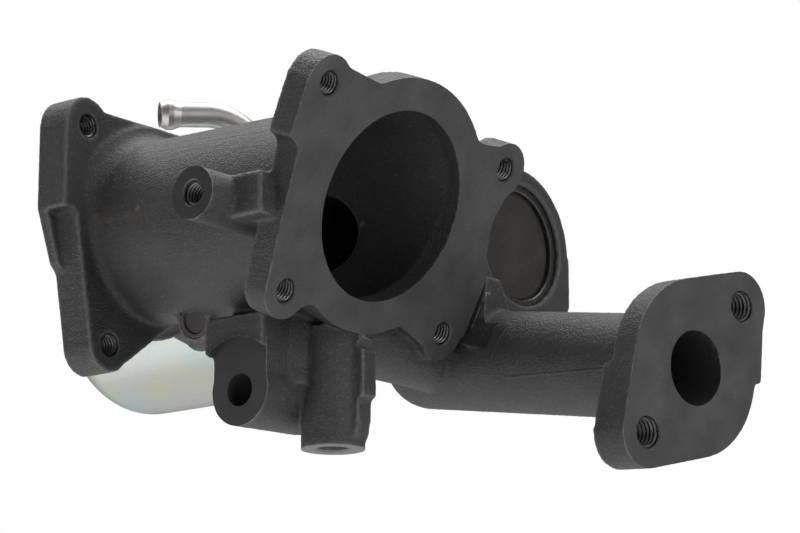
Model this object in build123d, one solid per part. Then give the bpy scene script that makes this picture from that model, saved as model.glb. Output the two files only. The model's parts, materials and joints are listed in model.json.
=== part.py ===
from build123d import *
from math import cos, radians, sin
import os

os.makedirs("parts", exist_ok=True)

# EGR valve: cast-iron mixing housing with a diaphragm-operated poppet valve.
# Millimetres. Origin: centre of the outlet flange's mating face.
# +X runs from that face into the housing, +Z is up.

# ---------------------------------------------------------------- fits
PRESS_GAP = 0.02            # pressed and clamped pieces, radial
SEAL_GAP = 0.3              # loose pieces beside curved faces
SLIDE_FIT = 0.04            # stem in its guide, radial

# ---------------------------------------------------------------- threads
M5_R = 2.5
M6_R = 3.0
M8_R = 4.0
THREAD_EDGE = 0.5           # countersink added to a tapped hole's radius

# ---------------------------------------------------------------- mixing tube
INTAKE_X = 91.3             # centre of the intake face
INTAKE_Y = 1.25
INTAKE_Z = -6.25
INTAKE_TILT = 23.0          # degrees that the intake face looks down
TUBE_R_OUTLET = 24.6        # outside of the tube at its two ends
TUBE_R_INTAKE = 28.2
TUBE_WALL = 3.8
TUBE_FLARE = 4.4            # cast fillet between tube and outlet flange
INTAKE_BORE_R = 24.9        # machined register in the intake face
INTAKE_BORE_DEPTH = 5.0
INTAKE_STEP = 0.25          # the cast passage is this much smaller behind it
TUBE_BEND_L = 24.0          # length of tube that turns towards the intake face

# ---------------------------------------------------------------- outlet flange
OUTLET_T = 10.0
OUTLET_BORE_R = 21.0
OUTLET_LOBE_R = 7.9
OUTLET_HOLES = [(-26.2, 23.5), (26.2, 23.5), (28.0, -19.5), (-16.3, -34.0)]
OUTLET_LEFT = 34.3          # half widths of the upper half
OUTLET_RIGHT = 33.6
OUTLET_TOP = 28.6
OUTLET_STEP = 4.4           # sideways step at the parting line
TAB_T = 3.0                 # cast tab beside the mating face

# ---------------------------------------------------------------- intake flange
INTAKE_T = 8.0
INTAKE_RING_R = 33.3
INTAKE_LOBE_R = 7.2
INTAKE_HOLES = [(-35.6, 24.3), (38.5, 17.9), (-27.9, -27.4), (34.3, -27.9)]
INTAKE_HOLE_DEPTH = 14.0    # of the one hole with metal behind the flange
INTAKE_CORNER_R = 3.0       # hollow corners of the outline
GROOVE_W = 1.2              # groove between the flange and the web beside it
GROOVE_DEPTH = 3.0
GUSSET_T = 12.0
GUSSET_RISE = 3.6           # the web stands this far in front of the port

# ---------------------------------------------------------------- exhaust pipe
PIPE_FLANGE_CENTRE = (149.95, 49.4, -47.6)
PIPE_FLANGE_DOWN = 4.6      # degrees
PIPE_FLANGE_SIDE = 7.9
PIPE_FLANGE_T = 10.5        # below the parting line
PIPE_FLANGE_STEP = 2.7      # it is this much thinner above the line
PIPE_PARTING = -0.8
PIPE_FLANGE_R = 22.4
PIPE_LOBE_R = 8.9
PIPE_HOLES = [(16.55, 18.1), (-16.55, -18.1)]
PIPE_BORE_R = 9.5
PIPE_R = 13.5
PIPE_END = (58.0, 60.3, -32.0)
PIPE_FLARE = 3.5

# ---------------------------------------------------------------- valve body
VALVE_Y = 68.6
VALVE_Z = -1.9
PORT_X = 82.0               # mouth of the plugged port
PORT_R = 21.75
PORT_BACK_X = 62.0
PORT_BORE_R = 16.7
PLUG_SHOULDER_X = 75.2
INLET_R = 14.5
SEAT_X = 60.0               # valve side of the seat ring
SEAT_T = 4.0
SEAT_R = 12.0
SEAT_BORE_R = 8.0
SEAT_CHAMFER = 1.2
THROAT_R = 9.6
THROAT_T = 2.0
CHAMBER_X = 35.5
CHAMBER_R = 14.0
CHAMBER_WALL = 4.5
GUIDE_R = 4.0
GUIDE_BOSS_R = 14.5
SEAL_POCKET_R = 9.0
SEAL_POCKET_X = 20.0
BODY_FACE_X = 10.0
BODY_FLANGE_R = 25.5
BODY_FLANGE_T = 7.5
DUCT_R = 10.6
DUCT_WALL = 4.2
DUCT_START = (50.0, 15.0, -3.4)
DUCT_END = (46.9, 62.0, -2.2)

# ---------------------------------------------------------------- valve train
STEM_R = 3.0
STEM_TAIL_R = 2.5
STEM_SHOULDER_X = 2.5       # the diaphragm stack is clamped against this
HEAD_R = 9.1
HEAD_T = 2.0
SEAL_T = 4.0
RETAINER_T = 2.5
STROKE = 7.0

# ---------------------------------------------------------------- port plug
PLUG_GASKET_T = 1.0
PLUG_T = 2.7
PLUG_FACE_R = 14.7
RING_T = 1.5
RING_DEPTH = 1.0
RING_SECTION = 2.6
RING_SLOT = 5.0

# ---------------------------------------------------------------- actuator
GASKET_T = 1.0
BOWL_T = 1.5
BOWL_FLOOR_R = 24.0
BOWL_WALL_R = 27.0
RIM_X = -2.0                # clamped side of the bowl's rim
RIM_R = 33.2
RIM_LIP_T = 1.2
CLAMP_T = 1.6               # thickness of the diaphragm
CAN_R = 30.3
CAN_T = 1.2
CAN_END_X = -70.8
CAN_CORNER_R = 13.0
WASHER_R = 17.0
WASHER_T = 1.5
CUP_R = 18.0
CUP_T = 1.2
CUP_DEPTH = 6.0
NUT_R = 4.6
NUT_T = 4.0
ROLL_R = 2.6                # height of the diaphragm's roll
SCREW_CIRCLE_R = 19.0
SCREW_COUNT = 3
SCREW_HEAD_R = 4.1
SCREW_HEAD_T = 2.6
SCREW_L = 9.0
SPRING_WIRE_R = 1.2
SPRING_R = 12.5
SPRING_TURNS = 7.0
SPRING_SEAT_T = 1.2
SPRING_SEAT_H = 5.0

# ---------------------------------------------------------------- hose stub
STUB_X = -12.6
STUB_R = 3.65
STUB_WALL = 0.9
STUB_BEAD_R = 4.5
STUB_BEAD_L = 6.2
STUB_BEND_R = 16.5
STUB_HEIGHT = 53.6          # corner of the bend above the valve's axis
STUB_TURN = 53.0            # degrees from -X towards -Y
STUB_DIP = 3.4              # degrees that the free end points down
STUB_REACH = 31.2
COLLAR_R = 6.0
COLLAR_H = 3.0

# ---------------------------------------------------------------- foot and bosses
FOOT_X = 54.9               # axis of the foot's hole
FOOT_Z = -51.3
FOOT_FACE_Y = -15.0         # machined face
FOOT_R = 9.3
FOOT_HALF_W = 8.8
FOOT_DRAFT = 2.1            # degrees that the foot rises towards the column
FOOT_SHOULDER_W = 10.9      # the block above the foot is wider on its left
FOOT_SHOULDER_Z = -41.4
FOOT_TOP_Z = -32.3
FOOT_TOP_SLOPE = 17.0       # degrees
FOOT_HOLE_R = 4.2
SPOT_R = 13.5
SPOT_STEP = 1.6
BOTTOM_X = 67.8             # column that stands on the locating sleeve
BOTTOM_Y = 6.4
BOTTOM_Z = -65.1
BOTTOM_R = 8.2
COLUMN_BACK = 3.5           # rib and foot end this far behind its axis
RIB_X = 77.6
RIB_T = 5.5
LINK_X = 66.0               # round arm from the column to the valve body
LINK_Z = -34.0
LINK_R = 9.5
SLEEVE_R = 5.1
SLEEVE_BORE_R = 4.1
SLEEVE_L = 10.0
SLEEVE_HOLE_DEPTH = 18.0
SIDE_BOSS = (70.3, -50.1, -9.5)
SIDE_BOSS_R = 6.7
SIDE_BOSS_L = 30.0
SIDE_HOLE_DEPTH = 16.0
SMALL_BOSS = (29.0, -5.0, -28.3)
SMALL_BOSS_R = 5.75
SMALL_BOSS_L = 15.0
SMALL_BOSS_TILT = 14.0
CORE_PLUG_R = 4.5
CORE_PLUG_T = 2.0
CORE_HOLE_R = 3.0
CORE_HOLE_DEPTH = 9.0


# ---------------------------------------------------------------- helpers
def placed(plane, shape):
    return plane.location * shape


def along_x(x=0.0, y=0.0, z=0.0):
    """Plane across X: its own axes are Y, Z and it looks along +X."""
    return Plane(origin=(x, y, z), x_dir=(0, 1, 0), z_dir=(1, 0, 0))


def facing_front(y):
    """Plane across Y that looks along -Y: its own axes are X and Z."""
    return Plane(origin=(0, y, 0), x_dir=(1, 0, 0), z_dir=(0, -1, 0))


def lathe(profile):
    """Solid of revolution about local Z from (radius, height) points."""
    points = [(r, 0, h) for r, h in profile]
    return revolve(make_face(Polyline(*points, close=True)), Axis.Z)


def tube_between(start, end, radius):
    a, b = Vector(*start), Vector(*end)
    plane = Plane(origin=a, z_dir=b - a)
    return placed(plane, Cylinder(radius, (b - a).length, align=(Align.CENTER, Align.CENTER, Align.MIN)))


def drilled(plane, depth, radius, edge=0.0):
    """Cutter for a hole that starts at the plane and runs against its normal."""
    profile = [(0, 0.5), (radius + edge, 0.5), (radius + edge, 0), (radius, -edge), (radius, -depth), (0, -depth)]
    if edge == 0:
        profile = [(0, 0.5), (radius, 0.5), (radius, -depth), (0, -depth)]
    return placed(plane, lathe(profile))


def prism(plane, outline, height):
    """Raises an outline from the plane; a negative height goes behind it."""
    return placed(plane, extrude(outline, abs(height), dir=(0, 0, 1 if height > 0 else -1)))


def shifted(plane, u, v):
    return Plane(origin=plane.from_local_coords((u, v, 0)), x_dir=plane.x_dir, z_dir=plane.z_dir)


def softened(sketch, radius):
    """Rounds the hollow corners of an outline."""
    return offset(offset(sketch, radius, kind=Kind.ARC), -radius, kind=Kind.ARC)


def screw_pattern(shape):
    """Copies a shape round the valve's axis, at the actuator's screws."""
    copies = Part()
    for angle in range(0, 360, 360 // SCREW_COUNT):
        copies += Rot(0, 0, 90 + angle) * Pos(SCREW_CIRCLE_R, 0, 0) * shape
    return copies


def save(name, shape):
    shape.label = name
    export_step(shape, f"parts/{name}.step")


# ---------------------------------------------------------------- working planes
INTAKE_NORMAL = (cos(radians(INTAKE_TILT)), 0, -sin(radians(INTAKE_TILT)))
INTAKE = Plane(origin=(INTAKE_X, INTAKE_Y, INTAKE_Z), x_dir=(0, 1, 0), z_dir=INTAKE_NORMAL)
TUBE = Plane(origin=(0, 0, 0), z_dir=(INTAKE_X, INTAKE_Y, INTAKE_Z))
TUBE_L = Vector(INTAKE_X, INTAKE_Y, INTAKE_Z).length
PIPE_NORMAL = (
    cos(radians(PIPE_FLANGE_DOWN)) * cos(radians(PIPE_FLANGE_SIDE)),
    -cos(radians(PIPE_FLANGE_DOWN)) * sin(radians(PIPE_FLANGE_SIDE)),
    -sin(radians(PIPE_FLANGE_DOWN)),
)
PIPE_ACROSS = (sin(radians(PIPE_FLANGE_SIDE)), cos(radians(PIPE_FLANGE_SIDE)), 0)
PIPE_FACE = Plane(origin=PIPE_FLANGE_CENTRE, x_dir=PIPE_ACROSS, z_dir=PIPE_NORMAL)
VALVE = along_x(0, VALVE_Y, VALVE_Z)
PLUG_FACE_X = PLUG_SHOULDER_X + PLUG_GASKET_T + PLUG_T
RING_X = PLUG_FACE_X + 0.1
BOWL_X = BODY_FACE_X - GASKET_T


# ---------------------------------------------------------------- housing: outside
def outlet_flange():
    upper = Polygon(
        (-OUTLET_LEFT, 0.3), (-OUTLET_LEFT, 23.5), (-26.2, 31.2), (-21.8, OUTLET_TOP),
        (21.8, OUTLET_TOP), (26.2, 31.2), (OUTLET_RIGHT, 23.5), (OUTLET_RIGHT, -19.5),
        (28.0, -27.0), (18.0, -25.0), (0, 0.3), align=None,
    )
    step = -OUTLET_LEFT + OUTLET_STEP
    lower = Polygon(
        (step, 0.5), (-23.6, -34.0), (-16.3, -41.6), (-8.8, -37.2), (8.4, -24.2), (18.0, -20.0), (0, 0.5),
        align=None,
    )
    outline = upper + lower + Circle(TUBE_R_OUTLET + 0.4)
    for centre in OUTLET_HOLES:
        outline += Pos(*centre) * Circle(OUTLET_LOBE_R - 0.6 * (centre[1] < -30))
    outline = softened(outline, 2.0)
    plate = prism(along_x(), outline, OUTLET_T)
    tab = Polygon((-34.0, 0.2), (-29.2, -13.4), (-26.4, -16.0), (-20, -10), (-20, 0.2), align=None)
    return plate + prism(along_x(), tab, TAB_T)


def intake_outline():
    outline = Sketch() + Circle(INTAKE_RING_R)
    left = Polygon(
        (-43.3, 24.3), (-43.3, 9.0), (-39.2, 7.6), (-38.6, 3.0), (-37.6, -8.0), (-35.1, -27.4), (-27.9, -33.0),
        (-15, -28), (-15, 28), (-35.6, 30.0), align=None,
    )
    right = Polygon(
        (41.3, -28.0), (42.8, -27.2), (44.7, -10.0), (42.0, -6.0), (40.2, 0.5), (40.0, 5.0), (41.6, 10.5),
        (44.8, 16.0), (38.5, 24.0), (29.0, 22.6), (15, 22), (15, -28), (34.3, -34.0), align=None,
    )
    outline = outline + left + right
    for centre in INTAKE_HOLES:
        outline += Pos(*centre) * Circle(INTAKE_LOBE_R)
    return softened(outline, INTAKE_CORNER_R)


def intake_flange():
    return prism(INTAKE, intake_outline(), -INTAKE_T)


def mixing_tube():
    flare_r = TUBE_R_OUTLET + TUBE_FLARE
    start = OUTLET_T - 1.0
    arc_end = start + TUBE_FLARE + 1.6
    wall = [
        Line((0, 0, 0), (flare_r, 0, 0)),
        Line((flare_r, 0, 0), (flare_r, 0, start)),
        TangentArc((flare_r, 0, start), (TUBE_R_OUTLET, 0, arc_end), tangent=(-1, 0, 0.12)),
        Line((TUBE_R_OUTLET, 0, arc_end), (TUBE_R_INTAKE, 0, TUBE_L)),
        Line((TUBE_R_INTAKE, 0, TUBE_L), (0, 0, TUBE_L)),
        Line((0, 0, TUBE_L), (0, 0, 0)),
    ]
    body = placed(TUBE, revolve(make_face(wall), Axis.Z))
    keep = placed(INTAKE, Cylinder(80, 200, align=(Align.CENTER, Align.CENTER, Align.MAX)))
    mouth = placed(along_x(), Cylinder(80, 200, align=(Align.CENTER, Align.CENTER, Align.MIN)))
    return body & keep & mouth


def exhaust_pipe():
    outline = Sketch() + Circle(PIPE_FLANGE_R)
    for centre in PIPE_HOLES:
        outline += Pos(*centre) * Circle(PIPE_LOBE_R)
    outline = make_hull(outline.edges())
    outline += Polygon((10, 20), (24.8, 18.1), (24.8, PIPE_PARTING), (10, PIPE_PARTING), align=None)
    upper = Pos(0, PIPE_PARTING) * Rectangle(80, 80, align=(Align.CENTER, Align.MIN))
    thin = PIPE_FLANGE_T - PIPE_FLANGE_STEP
    flange = prism(PIPE_FACE, outline - upper, -PIPE_FLANGE_T) + prism(PIPE_FACE, outline & upper, -thin)
    start, end = Vector(*PIPE_FLANGE_CENTRE), Vector(*PIPE_END)
    run = Plane(origin=start, z_dir=end - start)
    length = (end - start).length
    back = thin - 1.5
    wide = PIPE_R + PIPE_FLARE
    wall = [
        Line((0, 0, 5.0), (wide, 0, 5.0)),
        Line((wide, 0, 5.0), (wide, 0, back)),
        TangentArc((wide, 0, back), (PIPE_R, 0, back + PIPE_FLARE + 3.0), tangent=(-0.2, 0, 1)),
        Line((PIPE_R, 0, back + PIPE_FLARE + 3.0), (PIPE_R, 0, length)),
        Line((PIPE_R, 0, length), (0, 0, length)),
        Line((0, 0, length), (0, 0, 5.0)),
    ]
    pipe = placed(run, revolve(make_face(wall), Axis.Z))
    return flange + pipe + Pos(*PIPE_END) * Sphere(PIPE_R)


def valve_body():
    chamber_r = CHAMBER_R + CHAMBER_WALL
    neck_x = BODY_FACE_X + BODY_FLANGE_T
    barrel = lathe([
        (0, BODY_FACE_X), (BODY_FLANGE_R - 1, BODY_FACE_X), (BODY_FLANGE_R, BODY_FACE_X + 1),
        (BODY_FLANGE_R, neck_x - 1), (BODY_FLANGE_R - 1, neck_x), (GUIDE_BOSS_R + 3, neck_x),
        (GUIDE_BOSS_R, neck_x + 3), (GUIDE_BOSS_R, CHAMBER_X - 8), (chamber_r, CHAMBER_X - 2),
        (chamber_r, PORT_X - 4), (0, PORT_X - 4),
    ])
    barrel = placed(VALVE, barrel)
    arch = Polygon(
        (-PORT_R, 0), (PORT_R, 0), (PORT_R, -14), (8, -38), (-12, -38), (-PORT_R, -34), align=None)
    port = prism(along_x(PORT_X, VALVE_Y, VALVE_Z), arch, PORT_BACK_X - PORT_X)
    port += placed(VALVE, lathe([
        (0, PORT_BACK_X), (PORT_R, PORT_BACK_X), (PORT_R, PORT_X - 1), (PORT_R - 1, PORT_X), (0, PORT_X)]))
    riser = loft([
        placed(Plane(origin=(59.5, 60.5, -36)), RectangleRounded(27, 27, 8)),
        placed(Plane(origin=(66.5, 65.5, -10)), RectangleRounded(24, 36, 6)),
    ])
    duct = tube_between(DUCT_START, DUCT_END, DUCT_R + DUCT_WALL)
    web = Pos(45, 46, -4) * Box(66, 52, 7)
    return barrel + port + riser + duct + web


def foot():
    """Foot with its machined pad, under a wider block that meets the tube."""
    right = FOOT_X + FOOT_HALF_W
    left = FOOT_X - FOOT_SHOULDER_W
    front_y = FOOT_FACE_Y - SPOT_STEP
    length = BOTTOM_Y + COLUMN_BACK - front_y
    front = Pos(FOOT_X, FOOT_Z) * Circle(FOOT_R) + Polygon(
        (FOOT_X - FOOT_HALF_W, FOOT_Z), (FOOT_X - FOOT_HALF_W, FOOT_SHOULDER_Z - 0.8), (left, FOOT_SHOULDER_Z),
        (left, -20), (right, -20), (right, FOOT_Z), align=None)
    lean = radians(FOOT_DRAFT)
    bar = extrude(placed(facing_front(front_y), front), length, dir=(0, cos(lean), sin(lean)))
    rise = sin(radians(FOOT_TOP_SLOPE)) / cos(radians(FOOT_TOP_SLOPE))
    side = Polygon(
        (front_y - 1, -80), (front_y - 1, FOOT_TOP_Z - rise), (front_y + 14, FOOT_TOP_Z + 14 * rise),
        (front_y + 14, -20), (front_y + length + 1, -20), (front_y + length + 1, -80), align=None)
    return bar & prism(along_x(left - 5), side, length + 10)


def column():
    """Upright with a rib, and the round arm that ties it to the valve body."""
    height = LINK_Z - BOTTOM_Z
    barrel = Pos(BOTTOM_X, BOTTOM_Y, BOTTOM_Z) * Cylinder(
        BOTTOM_R, height, align=(Align.CENTER, Align.CENTER, Align.MIN))
    rib = Polygon(
        (BOTTOM_X, -22), (BOTTOM_X, BOTTOM_Z + 0.6), (RIB_X - 2.0, BOTTOM_Z + 0.6), (RIB_X - 0.6, BOTTOM_Z + 3),
        (RIB_X, BOTTOM_Z + 6), (RIB_X, -53.6), (RIB_X + 1.6, -52.6), (RIB_X + 1.6, -39.5), (RIB_X, -37),
        (RIB_X - 5, -22), align=None)
    fin = prism(facing_front(BOTTOM_Y + COLUMN_BACK - RIB_T), rib, -RIB_T)
    right = FOOT_X + FOOT_HALF_W
    hollow = Polygon((right - 2, -6.5), (right, -6.5), (right + 2.6, -1.6), (BOTTOM_X + 1.5, BOTTOM_Y),
                     (right - 2, BOTTOM_Y), align=None)
    fill = prism(Plane(origin=(0, 0, FOOT_Z + 2)), hollow, LINK_Z - FOOT_Z + 3)
    arm = tube_between((LINK_X, BOTTOM_Y + 3, LINK_Z), (LINK_X, VALVE_Y - 12, LINK_Z), LINK_R)
    return barrel + fin + fill + arm


def side_boss():
    x, y, z = SIDE_BOSS
    barrel = placed(Plane(origin=SIDE_BOSS, z_dir=(0, 1, 0)), Cylinder(
        SIDE_BOSS_R, SIDE_BOSS_L, align=(Align.CENTER, Align.CENTER, Align.MIN)))
    web = Pos(x, y + 8.5, z) * Box(14.5, 22, 11, align=(Align.MIN, Align.MIN, Align.CENTER))
    return barrel + web


def small_boss_plane():
    """Face of the small boss; it looks out and down."""
    tilt = radians(SMALL_BOSS_TILT)
    return Plane(origin=SMALL_BOSS, z_dir=(0, -cos(tilt), -sin(tilt)))


def small_boss():
    return placed(small_boss_plane(), Cylinder(
        SMALL_BOSS_R, SMALL_BOSS_L, align=(Align.CENTER, Align.CENTER, Align.MAX)))


def intake_gusset():
    """Web from the pipe up to the port, apart from the intake flange by a groove."""
    outline = Polygon((43, -14.6), (54.2, -14.7), (59.2, -23.5), (61, -28), (61, -36), (50, -36), (46.5, -33), (43, -29.5),
                      align=None)
    web = prism(along_x(PORT_X - GUSSET_T), outline, GUSSET_T + GUSSET_RISE)
    groove = prism(INTAKE.offset(-GROOVE_DEPTH), offset(intake_outline(), GROOVE_W), GROOVE_DEPTH + 20)
    return web - groove


# ---------------------------------------------------------------- housing: inside
def housing_bores():
    outlet_r = TUBE_R_OUTLET - TUBE_WALL
    intake_r = TUBE_R_INTAKE - TUBE_WALL
    bend = TUBE_L - TUBE_BEND_L
    cut = placed(TUBE, lathe([(0, -5), (outlet_r, -5), (outlet_r, 12), (intake_r, bend), (0, bend)]))
    mouth = INTAKE.offset(-INTAKE_BORE_DEPTH)
    cut += loft([TUBE.offset(bend) * Circle(intake_r), mouth * Circle(INTAKE_BORE_R - INTAKE_STEP)])
    cut += placed(INTAKE, Cylinder(INTAKE_BORE_R, INTAKE_BORE_DEPTH * 2))
    cut += placed(along_x(), Cylinder(OUTLET_BORE_R, OUTLET_T * 2))
    cut += tube_between(DUCT_START, DUCT_END, DUCT_R)
    cut += placed(VALVE, lathe([
        (0, CHAMBER_X), (CHAMBER_R, CHAMBER_X), (CHAMBER_R, SEAT_X - THROAT_T), (THROAT_R, SEAT_X - THROAT_T),
        (THROAT_R, SEAT_X), (SEAT_R, SEAT_X), (SEAT_R, SEAT_X + SEAT_T), (INLET_R, SEAT_X + SEAT_T),
        (INLET_R, PLUG_SHOULDER_X), (PORT_BORE_R, PLUG_SHOULDER_X), (PORT_BORE_R, RING_X - 0.1),
        (PORT_BORE_R + RING_DEPTH, RING_X - 0.1), (PORT_BORE_R + RING_DEPTH, RING_X + RING_T + 0.1),
        (PORT_BORE_R, RING_X + RING_T + 0.1), (PORT_BORE_R, PORT_X - 0.6), (PORT_BORE_R + 0.6, PORT_X),
        (PORT_BORE_R + 0.6, PORT_X + 5), (0, PORT_X + 5),
    ]))
    cut += placed(VALVE, lathe([
        (0, -5), (SEAL_POCKET_R, -5), (SEAL_POCKET_R, SEAL_POCKET_X), (GUIDE_R, SEAL_POCKET_X),
        (GUIDE_R, CHAMBER_X + 1), (0, CHAMBER_X + 1),
    ]))
    cut += tube_between(PIPE_FLANGE_CENTRE, PIPE_END, PIPE_BORE_R)
    cut += placed(PIPE_FACE, Cylinder(PIPE_BORE_R, 6))
    cut += Pos(*PIPE_END) * Sphere(PIPE_BORE_R)
    cut += loft([
        placed(Plane(origin=(69.6, 59.5, -36)), RectangleRounded(10.4, 16, 4)),
        placed(Plane(origin=(69.6, 66.5, VALVE_Z - 6)), RectangleRounded(10.4, 20, 4)),
    ])
    return cut


def housing_holes():
    cut = Part()
    for u, v in OUTLET_HOLES:
        face = Plane(origin=(OUTLET_T, u, v), x_dir=(0, 1, 0), z_dir=(1, 0, 0))
        cut += drilled(face, OUTLET_T + 1, M6_R, 0.2)
    for u, v in INTAKE_HOLES:
        cut += drilled(shifted(INTAKE, u, v), INTAKE_HOLE_DEPTH, M6_R, THREAD_EDGE)
    for u, v in PIPE_HOLES:
        cut += drilled(shifted(PIPE_FACE, u, v), PIPE_FLANGE_T + 1, M8_R, 0.3)
    cut += placed(VALVE, Pos(0, 0, BODY_FACE_X) * screw_pattern(Cylinder(M5_R, 2 * (BODY_FLANGE_T - 1))))
    front = Plane(origin=SIDE_BOSS, z_dir=(0, -1, 0))
    cut += drilled(front, SIDE_HOLE_DEPTH, M6_R, THREAD_EDGE)
    spot_face = facing_front(FOOT_FACE_Y)
    pad = Pos(FOOT_X, FOOT_Z, 0)
    cut += placed(spot_face, pad * Cylinder(SPOT_R, 10, align=(Align.CENTER, Align.CENTER, Align.MIN)))
    cut += placed(spot_face, pad * Cylinder(FOOT_HOLE_R, 2 * (BOTTOM_Y + COLUMN_BACK - FOOT_FACE_Y + 1)))
    below = Plane(origin=(BOTTOM_X, BOTTOM_Y, BOTTOM_Z), z_dir=(0, 0, -1))
    cut += drilled(below, SLEEVE_HOLE_DEPTH, SLEEVE_R)
    run = small_boss_plane()
    cut += drilled(run, CORE_PLUG_T + 1.0, CORE_PLUG_R)
    cut += drilled(run, CORE_HOLE_DEPTH, CORE_HOLE_R)
    return cut


def make_housing():
    body = outlet_flange() + mixing_tube() + valve_body() + exhaust_pipe()
    body += foot() + column() + side_boss() + small_boss() + intake_gusset()
    body = body - housing_bores()
    body += intake_flange() - housing_bores()
    return body - housing_holes()


# ---------------------------------------------------------------- valve train
def make_valve_seat():
    outer = SEAT_R - PRESS_GAP
    return placed(VALVE, lathe([
        (SEAT_BORE_R + SEAT_CHAMFER, SEAT_X), (outer, SEAT_X), (outer, SEAT_X + SEAT_T - 0.6),
        (outer - 0.6, SEAT_X + SEAT_T), (SEAT_BORE_R, SEAT_X + SEAT_T), (SEAT_BORE_R, SEAT_X + SEAT_CHAMFER)]))


def make_poppet():
    face_x = SEAT_X - SLIDE_FIT
    tip_x = STEM_SHOULDER_X - stack_height() - NUT_T - 1.5
    neck_x = face_x - HEAD_T - 3.0
    nose_r = SEAT_BORE_R + SEAT_CHAMFER - (HEAD_R - SEAT_BORE_R - SEAT_CHAMFER)
    return placed(VALVE, lathe([
        (0, tip_x), (STEM_TAIL_R - 0.5, tip_x), (STEM_TAIL_R, tip_x + 0.5), (STEM_TAIL_R, STEM_SHOULDER_X),
        (STEM_R, STEM_SHOULDER_X), (STEM_R, neck_x), (STEM_R + 1.2, neck_x + 2.2),
        (HEAD_R, face_x - HEAD_T), (HEAD_R, face_x - 0.1), (SEAT_BORE_R - 0.3, face_x + SEAT_CHAMFER),
        (0, face_x + SEAT_CHAMFER)]))


def make_stem_guide():
    outer = GUIDE_R - PRESS_GAP
    inner = STEM_R + SLIDE_FIT
    return placed(VALVE, lathe([
        (inner + 0.4, SEAL_POCKET_X), (outer, SEAL_POCKET_X), (outer, CHAMBER_X), (inner + 0.4, CHAMBER_X),
        (inner, CHAMBER_X - 0.4), (inner, SEAL_POCKET_X + 0.4)]))


def make_stem_seal():
    outer = SEAL_POCKET_R - SEAL_GAP
    inner = STEM_R + SLIDE_FIT
    start = SEAL_POCKET_X - SEAL_T
    return placed(VALVE, lathe([
        (inner + 1.4, start), (outer - 0.6, start), (outer, start + 0.6), (outer, SEAL_POCKET_X),
        (inner, SEAL_POCKET_X), (inner, start + 1.4)]))


def make_seal_retainer():
    outer = SEAL_POCKET_R - PRESS_GAP
    end = SEAL_POCKET_X - SEAL_T
    start = end - RETAINER_T
    return placed(VALVE, lathe([
        (outer - 1.2, start), (outer, start), (outer, end), (STEM_R + 1.2, end), (STEM_R + 1.2, end - 1.0),
        (outer - 1.2, end - 1.0)]))


# ---------------------------------------------------------------- port plug
def make_plug_gasket():
    start = PLUG_SHOULDER_X
    return placed(VALVE, lathe([
        (INLET_R + 0.2, start), (PORT_BORE_R - 0.1, start), (PORT_BORE_R - 0.1, start + PLUG_GASKET_T),
        (INLET_R + 0.2, start + PLUG_GASKET_T)]))


def make_port_plug():
    back = PLUG_SHOULDER_X + PLUG_GASKET_T
    outer = PORT_BORE_R - PRESS_GAP
    inner = INLET_R - 1.5
    return placed(VALVE, lathe([
        (0, back + 1.0), (inner, back + 1.0), (inner, back - 1.5), (INLET_R - 0.2, back - 1.5), (INLET_R - 0.2, back),
        (outer, back), (outer, PLUG_FACE_X), (PLUG_FACE_R, PLUG_FACE_X), (PLUG_FACE_R - 0.3, PLUG_FACE_X + 0.3),
        (0, PLUG_FACE_X + 0.3)]))


def make_port_ring():
    outer = PORT_BORE_R + RING_DEPTH - PRESS_GAP
    inner = outer - RING_SECTION
    ring = placed(VALVE, lathe([
        (inner + 0.3, RING_X), (outer, RING_X), (outer, RING_X + RING_T), (inner + 0.3, RING_X + RING_T),
        (inner, RING_X + RING_T - 0.3), (inner, RING_X + 0.3)]))
    slot = Pos(RING_X + RING_T / 2, VALVE_Y - outer, VALVE_Z) * Box(RING_T + 2, 3 * RING_SECTION, RING_SLOT)
    return ring - slot


# ---------------------------------------------------------------- actuator
def stack_height():
    """Washer, diaphragm and cup, clamped together on the stem."""
    return WASHER_T + CLAMP_T + CUP_T


def make_heat_gasket():
    ring = placed(VALVE, Pos(0, 0, BOWL_X) * (
        Cylinder(BODY_FLANGE_R - 0.5, GASKET_T, align=(Align.CENTER, Align.CENTER, Align.MIN))
        - Cylinder(SEAL_POCKET_R - 0.5, 4 * GASKET_T)
        - screw_pattern(Cylinder(M5_R + 0.2, 4 * GASKET_T))))
    return ring


def make_actuator_base():
    rim_x = RIM_X + BOWL_T
    lip_x = RIM_X - CLAMP_T - CAN_T
    hem_r = RIM_R - RIM_LIP_T
    bowl = placed(VALVE, lathe([
        (SEAL_POCKET_R - 0.5, BOWL_X - BOWL_T), (SEAL_POCKET_R - 0.5, BOWL_X), (BOWL_FLOOR_R, BOWL_X),
        (BOWL_WALL_R - 0.4, BOWL_X - 2.4), (BOWL_WALL_R, BOWL_X - 4.0), (BOWL_WALL_R, rim_x), (RIM_R - 0.8, rim_x),
        (RIM_R, rim_x - 0.8), (RIM_R, lip_x - RIM_LIP_T + 0.6), (RIM_R - 0.6, lip_x - RIM_LIP_T),
        (CAN_R + 0.2, lip_x - RIM_LIP_T), (CAN_R + 0.2, lip_x), (hem_r, lip_x), (hem_r, RIM_X),
        (BOWL_WALL_R - BOWL_T, RIM_X), (BOWL_WALL_R - BOWL_T, BOWL_X - 4.2), (BOWL_FLOOR_R - 0.7, BOWL_X - BOWL_T)]))
    return bowl - placed(VALVE, Pos(0, 0, BOWL_X) * screw_pattern(Cylinder(M5_R + 0.2, 8 * BOWL_T)))


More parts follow.
